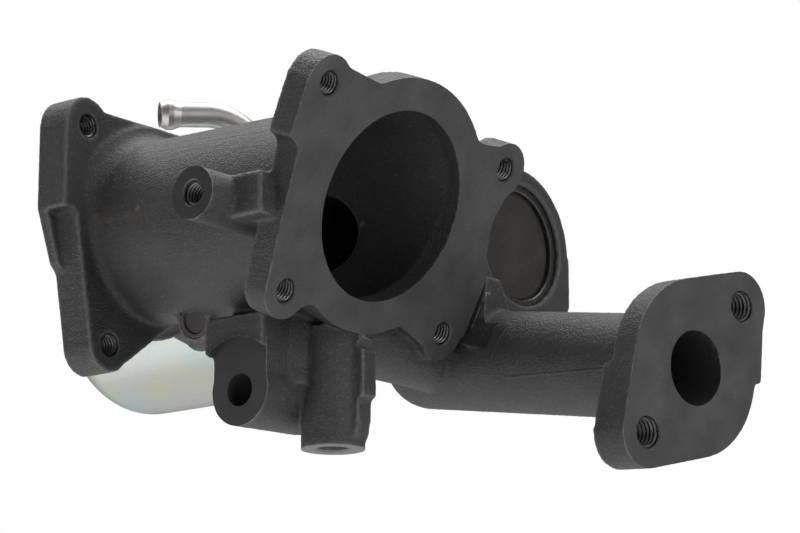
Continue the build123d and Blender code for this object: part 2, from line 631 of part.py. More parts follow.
def make_base_screws():
    head_x = BOWL_X - BOWL_T
    socket = Pos(0, 0, -SCREW_HEAD_T) * extrude(RegularPolygon(2.2, 6), 1.6)
    screw = lathe([
        (0, -SCREW_HEAD_T), (SCREW_HEAD_R - 0.8, -SCREW_HEAD_T), (SCREW_HEAD_R, -SCREW_HEAD_T + 1.2),
        (SCREW_HEAD_R, 0), (M5_R - 0.1, 0), (M5_R - 0.1, SCREW_L - 0.6), (M5_R - 0.7, SCREW_L), (0, SCREW_L)])
    return placed(VALVE, Pos(0, 0, head_x) * screw_pattern(screw - socket))


def make_diaphragm():
    """Thin rubber disc: flat centre, a roll towards the can, then the clamped rim."""
    centre_x = STEM_SHOULDER_X - WASHER_T
    rim_x = RIM_X
    rim_in = BOWL_WALL_R - BOWL_T
    mid_r = (CUP_R + rim_in) / 2 + 0.4
    outer_r = RIM_R - RIM_LIP_T - SEAL_GAP
    bulge = centre_x + ROLL_R
    valve_side = Spline((CUP_R + 0.3, 0, centre_x), (mid_r, 0, bulge - 1.2), (rim_in - 0.2, 0, rim_x),
                        tangents=[(1, 0, 0), (1, 0, -1)])
    can_side = Spline((rim_in - 0.2, 0, rim_x - CLAMP_T), (mid_r, 0, bulge - 1.2 - CLAMP_T),
                      (CUP_R + 0.3, 0, centre_x - CLAMP_T), tangents=[(-1, 0, 1), (-1, 0, 0)])
    bore = STEM_TAIL_R + PRESS_GAP
    wall = [
        Line((bore, 0, centre_x), (CUP_R + 0.3, 0, centre_x)), valve_side,
        Line((rim_in - 0.2, 0, rim_x), (outer_r, 0, rim_x)),
        Line((outer_r, 0, rim_x), (outer_r, 0, rim_x - CLAMP_T)),
        Line((outer_r, 0, rim_x - CLAMP_T), (rim_in - 0.2, 0, rim_x - CLAMP_T)), can_side,
        Line((CUP_R + 0.3, 0, centre_x - CLAMP_T), (bore, 0, centre_x - CLAMP_T)),
        Line((bore, 0, centre_x - CLAMP_T), (bore, 0, centre_x)),
    ]
    return placed(VALVE, revolve(make_face(wall), Axis.Z))


def make_diaphragm_washer():
    bore = STEM_TAIL_R + PRESS_GAP
    start = STEM_SHOULDER_X - WASHER_T
    return placed(VALVE, lathe([
        (bore, start), (WASHER_R - 0.5, start), (WASHER_R, start + 0.5), (WASHER_R, STEM_SHOULDER_X),
        (bore, STEM_SHOULDER_X)]))


def make_spring_cup():
    bore = STEM_TAIL_R + PRESS_GAP
    front = STEM_SHOULDER_X - WASHER_T - CLAMP_T
    back = front - CUP_T
    tip = front - CUP_DEPTH
    return placed(VALVE, lathe([
        (bore, back), (bore, front), (CUP_R - 1.5, front), (CUP_R, front - 1.5), (CUP_R, tip), (CUP_R - CUP_T, tip),
        (CUP_R - CUP_T, back - 0.8), (CUP_R - CUP_T - 0.8, back)]))


def make_stem_nut():
    back = STEM_SHOULDER_X - stack_height()
    hexagon = RegularPolygon(NUT_R, 6) - Circle(STEM_TAIL_R + PRESS_GAP)
    nut = extrude(hexagon, NUT_T, dir=(0, 0, -1))
    crown = lathe([(0, -NUT_T), (NUT_R - 0.5, -NUT_T), (NUT_R, -NUT_T + 0.5), (NUT_R, 0), (0, 0)])
    return placed(VALVE, Pos(0, 0, back) * (nut & crown))


def make_actuator_can():
    flange_x = RIM_X - CLAMP_T
    corner_x = CAN_END_X + CAN_CORNER_R
    inner = CAN_R - CAN_T
    inner_corner = CAN_CORNER_R - CAN_T
    outer_r = RIM_R - RIM_LIP_T - PRESS_GAP
    middle = cos(radians(45))
    out_mid = (CAN_R - CAN_CORNER_R * (1 - middle), 0, corner_x - CAN_CORNER_R * middle)
    in_mid = (inner - inner_corner * (1 - middle), 0, corner_x - inner_corner * middle)
    wall = [
        Line((outer_r, 0, flange_x), (outer_r, 0, flange_x - CAN_T)),
        Line((outer_r, 0, flange_x - CAN_T), (CAN_R, 0, flange_x - CAN_T)),
        Line((CAN_R, 0, flange_x - CAN_T), (CAN_R, 0, corner_x)),
        ThreePointArc((CAN_R, 0, corner_x), out_mid, (CAN_R - CAN_CORNER_R, 0, CAN_END_X)),
        Line((CAN_R - CAN_CORNER_R, 0, CAN_END_X), (0, 0, CAN_END_X)),
        Line((0, 0, CAN_END_X), (0, 0, CAN_END_X + CAN_T)),
        Line((0, 0, CAN_END_X + CAN_T), (CAN_R - CAN_CORNER_R, 0, CAN_END_X + CAN_T)),
        ThreePointArc((CAN_R - CAN_CORNER_R, 0, CAN_END_X + CAN_T), in_mid, (inner, 0, corner_x)),
        Line((inner, 0, corner_x), (inner, 0, flange_x)),
        Line((inner, 0, flange_x), (outer_r, 0, flange_x)),
    ]
    shell = placed(VALVE, revolve(make_face(wall), Axis.Z))
    hole = Pos(STUB_X, VALVE_Y, VALVE_Z) * Cylinder(
        STUB_R + PRESS_GAP, CAN_R + 10, align=(Align.CENTER, Align.CENTER, Align.MIN))
    return shell - hole


def make_spring_seat():
    foot_x = CAN_END_X + CAN_T
    flange_r = CAN_R - CAN_CORNER_R
    post_r = SPRING_R - SPRING_WIRE_R - 0.5
    return placed(VALVE, lathe([
        (post_r - SPRING_SEAT_T, foot_x), (flange_r, foot_x), (flange_r, foot_x + SPRING_SEAT_T),
        (post_r, foot_x + SPRING_SEAT_T), (post_r, foot_x + SPRING_SEAT_H - 1), (post_r - 1, foot_x + SPRING_SEAT_H),
        (3.0, foot_x + SPRING_SEAT_H), (3.0, foot_x + SPRING_SEAT_H - SPRING_SEAT_T),
        (post_r - SPRING_SEAT_T, foot_x + SPRING_SEAT_H - SPRING_SEAT_T)]))


def make_return_spring():
    start = CAN_END_X + CAN_T + SPRING_SEAT_T + SPRING_WIRE_R + 0.1
    end = STEM_SHOULDER_X - stack_height() - SPRING_WIRE_R - 0.1
    coil = Helix((end - start) / SPRING_TURNS, end - start, SPRING_R)
    section = Plane(origin=coil @ 0, z_dir=coil % 0) * Circle(SPRING_WIRE_R)
    return placed(VALVE, Pos(0, 0, start) * sweep(section, path=coil, is_frenet=True))


# ---------------------------------------------------------------- hose stub
def make_hose_stub():
    turn, dip = radians(STUB_TURN), radians(STUB_DIP)
    away = Vector(-cos(turn) * cos(dip), -sin(turn) * cos(dip), -sin(dip))
    root = Vector(STUB_X, VALVE_Y, VALVE_Z + CAN_R - CAN_T - 1.0)
    corner = Vector(STUB_X, VALVE_Y, VALVE_Z + STUB_HEIGHT)
    tip = corner + away * STUB_REACH
    route = FilletPolyline(root, corner, tip, radius=STUB_BEND_R)
    base = Plane(origin=root, z_dir=(0, 0, 1))
    tube = sweep(base * Circle(STUB_R), path=route) - sweep(base * Circle(STUB_R - STUB_WALL), path=route)
    mouth = Plane(origin=tip, z_dir=away * -1)
    bead = placed(mouth, lathe([
        (STUB_R - STUB_WALL, 0), (STUB_R - 0.1, 0), (STUB_BEAD_R, 2.0), (STUB_BEAD_R, 3.6),
        (STUB_R - 0.1, STUB_BEAD_L), (STUB_R - STUB_WALL, STUB_BEAD_L)]))
    return tube + bead


def make_stub_collar():
    outline = Pos(STUB_X, VALVE_Y, VALVE_Z) * (
        Cylinder(COLLAR_R, CAN_R + COLLAR_H, align=(Align.CENTER, Align.CENTER, Align.MIN))
        - Cylinder(STUB_R + PRESS_GAP, 4 * CAN_R))
    return outline - placed(VALVE, Cylinder(CAN_R + PRESS_GAP, 200))


# ---------------------------------------------------------------- plugs and sleeves
def make_locating_sleeve():
    top = BOTTOM_Z + SLEEVE_L
    outer = SLEEVE_R - PRESS_GAP
    return Pos(BOTTOM_X, BOTTOM_Y, 0) * lathe([
        (SLEEVE_BORE_R + 0.5, BOTTOM_Z), (outer, BOTTOM_Z), (outer, top), (SLEEVE_BORE_R, top),
        (SLEEVE_BORE_R, BOTTOM_Z + 0.5)])


def make_core_plug():
    inset = 0.4
    run = small_boss_plane()
    outer = CORE_PLUG_R - PRESS_GAP
    return placed(run, lathe([
        (0, -inset - 0.5), (outer - 1.2, -inset - 0.5), (outer - 0.9, -inset), (outer, -inset),
        (outer, -inset - CORE_PLUG_T), (0, -inset - CORE_PLUG_T)]))


# ---------------------------------------------------------------- output
PIECES = {
    "housing": make_housing,
    "valve_seat": make_valve_seat,
    "poppet_valve": make_poppet,
    "stem_guide": make_stem_guide,
    "stem_seal": make_stem_seal,
    "seal_retainer": make_seal_retainer,
    "plug_gasket": make_plug_gasket,
    "port_plug": make_port_plug,
    "port_ring": make_port_ring,
    "heat_gasket": make_heat_gasket,
    "actuator_base": make_actuator_base,
    "base_screws": make_base_screws,
    "diaphragm": make_diaphragm,
    "diaphragm_washer": make_diaphragm_washer,
    "spring_cup": make_spring_cup,
    "stem_nut": make_stem_nut,
    "actuator_can": make_actuator_can,
    "spring_seat": make_spring_seat,
    "return_spring": make_return_spring,
    "hose_stub": make_hose_stub,
    "stub_collar": make_stub_collar,
    "locating_sleeve": make_locating_sleeve,
    "core_plug": make_core_plug,
}

for name, make in PIECES.items():
    save(name, make())
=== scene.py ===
"""Looks of the EGR valve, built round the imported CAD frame.

The frame is in metres, +X from the outlet face into the housing, +Z up. Places below are in mm of it,
and the stage's in metres.
"""

import json
from math import cos, radians, sin, tau

import bmesh
import bpy
import numpy as np
from mathutils import Matrix, Vector


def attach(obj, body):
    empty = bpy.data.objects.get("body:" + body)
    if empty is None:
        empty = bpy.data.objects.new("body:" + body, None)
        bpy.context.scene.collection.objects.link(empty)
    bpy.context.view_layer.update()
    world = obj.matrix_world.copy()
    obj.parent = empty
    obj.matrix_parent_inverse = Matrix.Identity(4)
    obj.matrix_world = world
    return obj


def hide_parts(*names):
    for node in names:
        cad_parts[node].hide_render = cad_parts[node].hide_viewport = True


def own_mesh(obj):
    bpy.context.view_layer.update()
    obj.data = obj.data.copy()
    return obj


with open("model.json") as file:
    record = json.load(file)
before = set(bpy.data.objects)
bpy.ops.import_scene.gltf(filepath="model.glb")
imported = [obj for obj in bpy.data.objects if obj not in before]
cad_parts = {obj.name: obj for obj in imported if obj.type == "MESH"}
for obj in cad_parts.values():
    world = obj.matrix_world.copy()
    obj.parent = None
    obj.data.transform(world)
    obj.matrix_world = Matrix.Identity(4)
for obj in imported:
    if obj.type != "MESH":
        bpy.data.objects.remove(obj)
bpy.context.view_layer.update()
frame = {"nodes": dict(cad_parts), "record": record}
nodes = frame["nodes"]
MM = 0.001

# ---------------------------------------------------------------- camera
FOCAL_MM = 135.0
SENSOR_MM = 36.0
CAMERA_AT = (555.61, -567.09, -194.72)
CAMERA_RIGHT = (0.77624, 0.63043, 0.00087)
CAMERA_UP = (0.14399, -0.17863, 0.97332)
CAMERA_BACK = (0.61377, -0.75541, -0.22944)

# ---------------------------------------------------------------- places on the casting, in mm
INTAKE_AT = Vector((91.3, 1.25, -6.25))
INTAKE_TILT = radians(23.0)
INTAKE_NORMAL = Vector((cos(INTAKE_TILT), 0, -sin(INTAKE_TILT)))
INTAKE_HOLES = [(-35.6, 24.3), (38.5, 17.9), (-27.9, -27.4), (34.3, -27.9)]
PIPE_AT = Vector((149.95, 49.4, -47.6))
PIPE_DOWN = radians(4.6)
PIPE_SIDE = radians(7.9)
PIPE_NORMAL = Vector((cos(PIPE_DOWN) * cos(PIPE_SIDE), -cos(PIPE_DOWN) * sin(PIPE_SIDE), -sin(PIPE_DOWN)))
PIPE_ACROSS = Vector((sin(PIPE_SIDE), cos(PIPE_SIDE), 0))
PIPE_HOLES = [(16.55, 18.1), (-16.55, -18.1)]
PIPE_PARTING = -0.8
OUTLET_T = 10.0
OUTLET_HOLES = [(-26.2, 23.5), (26.2, 23.5), (28.0, -19.5), (-16.3, -34.0)]
SIDE_BOSS = Vector((70.3, -50.1, -9.5))
FOOT = Vector((54.9, -15.0, -51.3))
FOOT_HOLE_R = 4.2
FOOT_DEPTH = 26.0
SPOT_R = 13.5
BOTTOM = Vector((67.8, 6.4, -65.1))
SLEEVE_R = 5.1
VALVE_Y = 68.6
VALVE_Z = -1.9
PORT_X = 82.0
PORT_BORE_R = 16.7
CORE_PLUG = Vector((29.0, -5.0, -28.3))
CORE_TILT = radians(14.0)
CORE_NORMAL = Vector((0, -cos(CORE_TILT), -sin(CORE_TILT)))
TUBE_PARTING_Z = -2.4
M6_R = 3.0
M6_PITCH = 1.0
M8_R = 4.0
M8_PITCH = 1.25


def frame_matrix(origin, across, normal):
    """Matrix that takes local mm (X across, Z along the normal) to metres in the part's frame."""
    z = Vector(normal).normalized()
    x = Vector(across).normalized()
    y = z.cross(x)
    m = Matrix((x, y, z)).transposed().to_4x4()
    return Matrix.Translation(Vector(origin) * MM) @ m @ Matrix.Scale(MM, 4)


INTAKE = frame_matrix(INTAKE_AT, (0, 1, 0), INTAKE_NORMAL)
PIPE = frame_matrix(PIPE_AT, PIPE_ACROSS, PIPE_NORMAL)
OUTLET = frame_matrix((0, 0, 0), (0, 1, 0), (-1, 0, 0))
OUTLET_BACK = frame_matrix((OUTLET_T, 0, 0), (0, 1, 0), (1, 0, 0))
SIDE = frame_matrix(SIDE_BOSS, (1, 0, 0), (0, -1, 0))
FOOT_FACE = frame_matrix(FOOT, (1, 0, 0), (0, -1, 0))
BELOW = frame_matrix(BOTTOM, (1, 0, 0), (0, 0, -1))
PORT = frame_matrix((PORT_X, VALVE_Y, VALVE_Z), (0, 1, 0), (1, 0, 0))


# ---------------------------------------------------------------- mesh helpers
def new_piece(name, bm, body):
    mesh = bpy.data.meshes.new(name)
    bm.to_mesh(mesh)
    bm.free()
    return new_object(name, mesh, body)


def new_object(name, mesh, body=None):
    piece = bpy.data.objects.new(name, mesh)
    bpy.context.scene.collection.objects.link(piece)
    if body:
        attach(piece, body)
    return piece


TURNED_STEPS = 96           # corners round a turned cutter
WELD = 1e-6                 # in metres, nearer vertices become one


def lathe_mesh(bm, profile, matrix):
    """Turns (radius, height) points round the matrix's Z axis; the profile starts and ends on the axis."""
    rings = []
    for r, h in profile:
        if r == 0:
            rings.append([bm.verts.new(matrix @ Vector((0, 0, h)))])
        else:
            angles = [tau * k / TURNED_STEPS for k in range(TURNED_STEPS)]
            rings.append([bm.verts.new(matrix @ Vector((r * cos(a), r * sin(a), h))) for a in angles])
    for a, b in zip(rings, rings[1:]):
        for k in range(TURNED_STEPS):
            n = (k + 1) % TURNED_STEPS
            corners = [a[k % len(a)], a[n % len(a)], b[n % len(b)], b[k % len(b)]]
            bm.faces.new(list(dict.fromkeys(corners)))


def cutter(parts, materials):
    """Closed bodies as one boolean tool; each is (kind, matrix, shape, material index).

    The shape is a (radius, height) profile for "turned", and (outline, low, high) for "prism".
    """
    bm = bmesh.new()
    for kind, matrix, shape, index in parts:
        start = len(bm.faces)
        if kind == "turned":
            lathe_mesh(bm, shape, matrix)
        else:
            outline, low, high = shape
            ends = [[bm.verts.new(matrix @ Vector((u, v, w))) for u, v in outline] for w in (low, high)]
            for ring in ends:
                bm.faces.new(ring)
            for a in range(len(outline)):
                b = (a + 1) % len(outline)
                bm.faces.new((ends[0][a], ends[0][b], ends[1][b], ends[1][a]))
        bm.faces.ensure_lookup_table()
        for face in bm.faces[start:]:
            face.material_index = index
    bmesh.ops.recalc_face_normals(bm, faces=bm.faces)
    mesh = bpy.data.meshes.new("cutter")
    bm.to_mesh(mesh)
    bm.free()
    for material in materials:
        mesh.materials.append(material)
    return new_object("cutter", mesh)


def square(half):
    """Outline of a square, from the half of its side."""
    return [(-half, -half), (half, -half), (half, half), (-half, half)]


def apply_modifiers(piece):
    """Replaces the piece's mesh by what its modifiers make of it."""
    graph = bpy.context.evaluated_depsgraph_get()
    made = bpy.data.meshes.new_from_object(
        piece.evaluated_get(graph), preserve_all_data_layers=True, depsgraph=graph)
    piece.modifiers.clear()
    old = piece.data
    piece.data = made
    bpy.data.meshes.remove(old)


def carve(piece, tool):
    """Cuts the tool out of the piece; the cut faces take the tool's materials."""
    step = piece.modifiers.new("cut", "BOOLEAN")
    step.operation = "DIFFERENCE"
    step.solver = "MANIFOLD"
    step.material_mode = "TRANSFER"
    step.object = tool
    apply_modifiers(piece)
    bpy.data.objects.remove(tool)


def spot(matrix, u, v, w=0.0):
    """The same plane, moved within itself."""
    return matrix @ Matrix.Translation((u, v, w))


# ---------------------------------------------------------------- materials
class Shader:
    """A material with a small set of node shortcuts; positions are in mm of the part's frame."""

    def __init__(self, name, roughness, metallic=0.0):
        self.material = bpy.data.materials.new(name)
        self.material.use_nodes = True
        self.tree = self.material.node_tree
        self.bsdf = self.tree.nodes["Principled BSDF"]
        self.bsdf.inputs["Metallic"].default_value = metallic
        self.bsdf.inputs["Roughness"].default_value = roughness
        place = self.tree.nodes.new("ShaderNodeTexCoord")
        scale = self.tree.nodes.new("ShaderNodeVectorMath")
        scale.operation = "SCALE"
        scale.inputs["Scale"].default_value = 1 / MM
        self.link(place.outputs["Object"], scale.inputs[0])
        self.place = scale.outputs[0]

    def link(self, a, b):
        self.tree.links.new(a, b)

    def stretched(self, x, y, z):
        node = self.tree.nodes.new("ShaderNodeVectorMath")
        node.operation = "MULTIPLY"
        node.inputs[1].default_value = (x, y, z)
        self.link(self.place, node.inputs[0])
        return node.outputs[0]

    def noise(self, size, detail=3.0, rough=0.5, vector=None):
        """Noise whose features are about `size` mm across."""
        node = self.tree.nodes.new("ShaderNodeTexNoise")
        node.inputs["Scale"].default_value = 1 / size
        node.inputs["Detail"].default_value = detail
        node.inputs["Roughness"].default_value = rough
        self.link(vector or self.place, node.inputs["Vector"])
        return node.outputs["Fac"]

    def cells(self, size):
        node = self.tree.nodes.new("ShaderNodeTexVoronoi")
        node.inputs["Scale"].default_value = 1 / size
        self.link(self.place, node.inputs["Vector"])
        return node.outputs["Distance"]

    def ramp(self, fac, *stops):
        """Colour or grey stops: (position, value) with a number or an RGB triple."""
        node = self.tree.nodes.new("ShaderNodeValToRGB")
        elements = node.color_ramp.elements
        while len(elements) < len(stops):
            elements.new(0.5)
        for element, (position, value) in zip(elements, stops):
            element.position = position
            rgb = (value, value, value) if isinstance(value, (int, float)) else value
            element.color = (*rgb, 1)
        self.link(fac, node.inputs["Fac"])
        return node.outputs["Color"]

    def mix(self, fac, a, b, mode="MIX"):
        node = self.tree.nodes.new("ShaderNodeMix")
        node.data_type = "RGBA"
        node.blend_type = mode
        for socket, value in ((node.inputs["Factor"], fac), (node.inputs[6], a), (node.inputs[7], b)):
            if isinstance(value, bpy.types.NodeSocket):
                self.link(value, socket)
            elif isinstance(value, (int, float)):
                socket.default_value = value
            else:
                socket.default_value = (*value, 1)
        return node.outputs[2]

    def math(self, operation, a, b=0.0):
        node = self.tree.nodes.new("ShaderNodeMath")
        node.operation = operation
        for socket, value in zip(node.inputs, (a, b)):
            if isinstance(value, bpy.types.NodeSocket):
                self.link(value, socket)
            else:
                socket.default_value = value
        return node.outputs[0]

    def vector(self, operation, a, b):
        node = self.tree.nodes.new("ShaderNodeVectorMath")
        node.operation = operation
        for socket, value in zip(node.inputs, (a, b)):
            if isinstance(value, bpy.types.NodeSocket):
                self.link(value, socket)
            else:
                socket.default_value = value
        return node.outputs["Value" if operation in ("DOT_PRODUCT", "LENGTH") else "Vector"]

    def pointiness(self):
        """About 0.5 on flats, more on rounded outer edges."""
        return self.tree.nodes.new("ShaderNodeNewGeometry").outputs["Pointiness"]

    def off_plane(self, point, normal):
        """Distance in mm from the plane through a point."""
        height = self.vector("DOT_PRODUCT", self.vector("SUBTRACT", self.place, point), normal)
        return self.math("ABSOLUTE", height)

    def off_axis(self, point, direction):
        """Distance in mm from the line through a point."""
        across = self.vector("CROSS_PRODUCT", self.vector("SUBTRACT", self.place, point), direction)
        return self.vector("LENGTH", across, (0, 0, 0))

    def band(self, distance, inner, outer):
        """1 nearer than `inner` mm, 0 further than `outer` mm."""
        node = self.tree.nodes.new("ShaderNodeMapRange")
        node.interpolation_type = "SMOOTHSTEP"
        ends = {"From Min": inner, "From Max": outer, "To Min": 1.0, "To Max": 0.0}
        for name, value in ends.items():
            node.inputs[name].default_value = value
        self.link(distance, node.inputs["Value"])
        return node.outputs["Result"]

    def bump(self, height, depth, onto=None):
        """Bump of `depth` mm; several are chained."""
        node = self.tree.nodes.new("ShaderNodeBump")
        node.inputs["Distance"].default_value = depth * MM
        self.link(height, node.inputs["Height"])
        if onto:
            self.link(onto, node.inputs["Normal"])
        return node.outputs["Normal"]

    def finish(self, colour=None, rough=None, normal=None):
        links = {"Base Color": colour, "Roughness": rough, "Normal": normal}
        for name, value in links.items():
            if value is not None:
                self.link(value, self.bsdf.inputs[name])
        return self.material


# machined faces as (point, normal, how far from the point the face reaches), in mm
FACES = [
    (INTAKE_AT, INTAKE_NORMAL, 51),
    (PIPE_AT, PIPE_NORMAL, 40),
    (SIDE_BOSS, (0, -1, 0), 8),
    (FOOT, (0, -1, 0), 15),
    (BOTTOM, (0, 0, -1), 15),
    ((0, 0, 0), (-1, 0, 0), 60),
]
WEAR_AND_HIGHLIGHT_ABOVE_Z = -39.5        # the intake's plane meets the column below this
TUBE_SEAM_X = 24            # middle of the tube's stretch with a mould seam
TUBE_SEAM_HALF = 13
PIPE_SEAM_X = 118           # the same on the pipe
PIPE_SEAM_HALF = 23


def cast_iron():
    """Black-painted sand casting: grain, mould seams, rust tints, and a thin lighter band at machined faces'
    edges and on rounded edges, partly rubbed paint and partly painted highlight.
    """
    s = Shader("cast_iron", 0.5)
    grain = s.noise(0.5, 3.0, 0.55)
    peel = s.noise(0.22, 2.0, 0.5)
    wide = s.noise(14.0, 3.0, 0.55)
    colour = s.ramp(wide, (0.3, (0.024, 0.024, 0.025)), (0.7, (0.036, 0.036, 0.037)))
    # Rounded outer edges turn lighter: partly paint rubbed off, partly a painted highlight along the edge.
    crest = s.ramp(s.pointiness(), (0.505, 0.0), (0.54, 0.7))
    colour = s.mix(crest, colour, (0.13, 0.129, 0.126))
    speck = s.ramp(grain, (0.57, 0.0), (0.68, 1.0))
    colour = s.mix(s.math("MULTIPLY", speck, 0.4), colour, (0.16, 0.157, 0.148))
    patch = s.noise(6.0, 4.0, 0.65)
    rust = s.ramp(s.math("MULTIPLY", patch, s.noise(1.1, 2.0)), (0.34, 0.0), (0.44, 1.0))
    colour = s.mix(s.math("MULTIPLY", rust, 0.45), colour, (0.10, 0.062, 0.036))
    tube_seam = s.off_plane((0, 0, TUBE_PARTING_Z), (0, 0, 1))
    pipe_up = PIPE_NORMAL.cross(PIPE_ACROSS)
    pipe_seam = s.off_plane(PIPE_AT + PIPE_PARTING * pipe_up, pipe_up)
    on_tube = s.band(s.off_plane((TUBE_SEAM_X, 0, 0), (1, 0, 0)), TUBE_SEAM_HALF, TUBE_SEAM_HALF + 2)
    on_pipe = s.band(s.off_plane((PIPE_SEAM_X, 0, 0), (1, 0, 0)), PIPE_SEAM_HALF, PIPE_SEAM_HALF + 1)
    stain = s.math("MULTIPLY", s.band(tube_seam, 0.3, 2.2), s.ramp(patch, (0.42, 0.0), (0.6, 0.6)))
    stain = s.math("MULTIPLY", stain, on_tube)
    colour = s.mix(stain, colour, (0.085, 0.060, 0.042))
    ragged = s.ramp(s.noise(2.2, 3.0, 0.7), (0.44, 0.0), (0.58, 1.0))
    above = s.band(s.off_plane((0, 0, 0), (0, 0, 1)), -WEAR_AND_HIGHLIGHT_ABOVE_Z, -WEAR_AND_HIGHLIGHT_ABOVE_Z + 0.5)
    # Near each machined face the cast wall turns lighter in a thin ragged band: partly paint rubbed off,
    # partly a painted highlight along the edge.
    for point, normal, reach in FACES:
        from_centre = s.vector("LENGTH", s.vector("SUBTRACT", s.place, point), (0, 0, 0))
        near_plane = s.band(s.off_plane(point, normal), 0.1, 0.3)
        wear_and_highlight = s.math("MULTIPLY", near_plane, s.band(from_centre, reach, reach + 0.5))
        if point is INTAKE_AT:
            wear_and_highlight = s.math("MULTIPLY", wear_and_highlight, above)
        wear_and_highlight = s.math("MULTIPLY", wear_and_highlight, ragged)
        colour = s.mix(s.math("MULTIPLY", wear_and_highlight, 0.7), colour, (0.30, 0.295, 0.285))
    rough = s.ramp(peel, (0.3, 0.36), (0.7, 0.56))
    normal = s.bump(grain, 0.34)
    normal = s.bump(peel, 0.12, onto=normal)
    ridge = s.math("MULTIPLY", s.band(pipe_seam, 0.1, 0.5), on_pipe)
    normal = s.bump(ridge, 0.12, onto=normal)
    return s.finish(colour, rough, normal)


def machined_iron(name, dark, light, metallic=0.25):
    """Milled cast iron: flat, with cutter lines, a few specks and pits, and faint brown tints."""
    s = Shader(name, 0.45, metallic=metallic)
    lines = s.noise(0.35, 2.0, 0.5, s.stretched(1.0, 0.12, 1.0))
    cloud = s.noise(11.0, 4.0, 0.6)
    colour = s.ramp(cloud, (0.34, (dark, dark, dark * 1.01)), (0.66, (light, light, light)))
    blotch = s.math("MULTIPLY", s.noise(9.0, 3.0, 0.6), s.noise(1.4, 3.0, 0.6))
    brown = s.ramp(blotch, (0.30, 0.0), (0.40, 0.4))
    colour = s.mix(brown, colour, (light, light * 0.80, light * 0.60))
    speck = s.ramp(s.noise(0.33, 1.0, 0.5), (0.66, 0.0), (0.76, 0.5))
    colour = s.mix(speck, colour, (light * 2.4, light * 2.35, light * 2.25))
    pits = s.ramp(s.cells(1.3), (0.05, 0.6), (0.12, 1.0))
    colour = s.mix(1.0, colour, pits, "MULTIPLY")
    rough = s.ramp(lines, (0.3, 0.4), (0.7, 0.54))
    normal = s.bump(lines, 0.012)
    normal = s.bump(s.ramp(s.cells(1.3), (0.04, 0.0), (0.12, 1.0)), 0.02, onto=normal)
    return s.finish(colour, rough, normal)


def blackened_steel():
    """Pressed plug, phosphated: fine light specks on dark grey, going brown in places."""
    s = Shader("blackened_steel", 0.5, metallic=0.3)
    cloud = s.noise(9.0, 3.0, 0.6)
    colour = s.ramp(cloud, (0.35, (0.026, 0.026, 0.025)), (0.65, (0.042, 0.038, 0.031)))
    speck = s.ramp(s.noise(0.3, 2.0, 0.55), (0.56, 0.0), (0.72, 0.9))
    colour = s.mix(speck, colour, (0.14, 0.125, 0.095))
    fine = s.noise(0.25, 2.0, 0.5)
    return s.finish(colour, s.ramp(fine, (0.3, 0.4), (0.7, 0.6)), s.bump(fine, 0.05))


def thread_steel(name, tone):
    """Bare cut iron of a thread in one tone: a light copy is painted highlight on the crests, a dark copy
    painted shade in the grooves.
    """
    s = Shader(name, 0.35, metallic=0.6)
    fac = s.noise(1.5, 3.0)
    colour = s.ramp(fac, (0.3, tone * 0.8), (0.7, tone * 1.15))
    return s.finish(colour, s.ramp(fac, (0.3, 0.25), (0.7, 0.42)), s.bump(s.noise(0.2), 0.01))


def zinc_plate():
    """Bright zinc with faint yellow and blue passivation clouds."""
    s = Shader("zinc_plate", 0.32, metallic=0.85)
    wide = s.noise(16.0, 3.0, 0.6)
    blue, bare, yellow = (0.40, 0.49, 0.49), (0.46, 0.50, 0.475), (0.51, 0.505, 0.41)
    colour = s.ramp(wide, (0.32, blue), (0.5, bare), (0.68, yellow))
    fine = s.noise(0.8, 3.0, 0.6)
    colour = s.mix(s.ramp(fine, (0.35, 0.0), (0.75, 0.25)), colour, (0.40, 0.41, 0.40))
    rough = s.ramp(fine, (0.3, 0.34), (0.7, 0.46))
    return s.finish(colour, rough, s.bump(fine, 0.01))


def brushed_stainless():
    """Drawn stainless tube: even and satin, with faint brown heat tint."""
    s = Shader("brushed_stainless", 0.4, metallic=1.0)
    fine = s.noise(0.25, 2.0, 0.5)
    colour = s.ramp(fine, (0.3, (0.47, 0.45, 0.43)), (0.7, (0.56, 0.54, 0.515)))
    tint = s.ramp(s.noise(7.0, 3.0), (0.5, 0.0), (0.72, 0.5))
    colour = s.mix(tint, colour, (0.43, 0.37, 0.325))
    return s.finish(colour, s.ramp(fine, (0.3, 0.36), (0.7, 0.46)), s.bump(fine, 0.004))


def painted_plug():
    """Copper plug, painted over with the casting; bare copper shows at its rim."""
    s = Shader("painted_plug", 0.5)
    grain = s.noise(0.6, 3.0, 0.6)
    rim = s.math("SUBTRACT", 1.0, s.band(s.off_axis(CORE_PLUG, CORE_NORMAL), 4.1, 4.4))
    bare = s.math("MULTIPLY", rim, s.ramp(grain, (0.35, 0.1), (0.6, 0.9)))
    colour = s.mix(bare, (0.028, 0.028, 0.028), (0.28, 0.12, 0.07))
    return s.finish(colour, s.ramp(grain, (0.3, 0.4), (0.7, 0.55)), s.bump(grain, 0.08))


def plain_metal(name, dark, light, rough=0.3, metallic=1.0, size=1.2):
    """Worked metal: two tones in small clouds, with a matching change of gloss."""
    s = Shader(name, rough, metallic=metallic)
    fac = s.noise(size, 4.0, 0.6)
    colour = s.ramp(fac, (0.3, dark), (0.7, light))
    roughness = s.ramp(fac, (0.3, rough * 0.8), (0.7, rough * 1.3))
    return s.finish(colour, roughness, s.bump(fac, 0.012))


def soft_black(name, tone, rough=0.65):
    """Rubber or graphite: even and dull."""
    s = Shader(name, rough)
    fac = s.noise(0.7, 4.0, 0.6)
    colour = s.ramp(fac, (0.3, tone * 0.8), (0.7, tone * 1.3))
    return s.finish(colour, s.ramp(fac, (0.3, rough * 0.9), (0.7, rough)), s.bump(fac, 0.03))


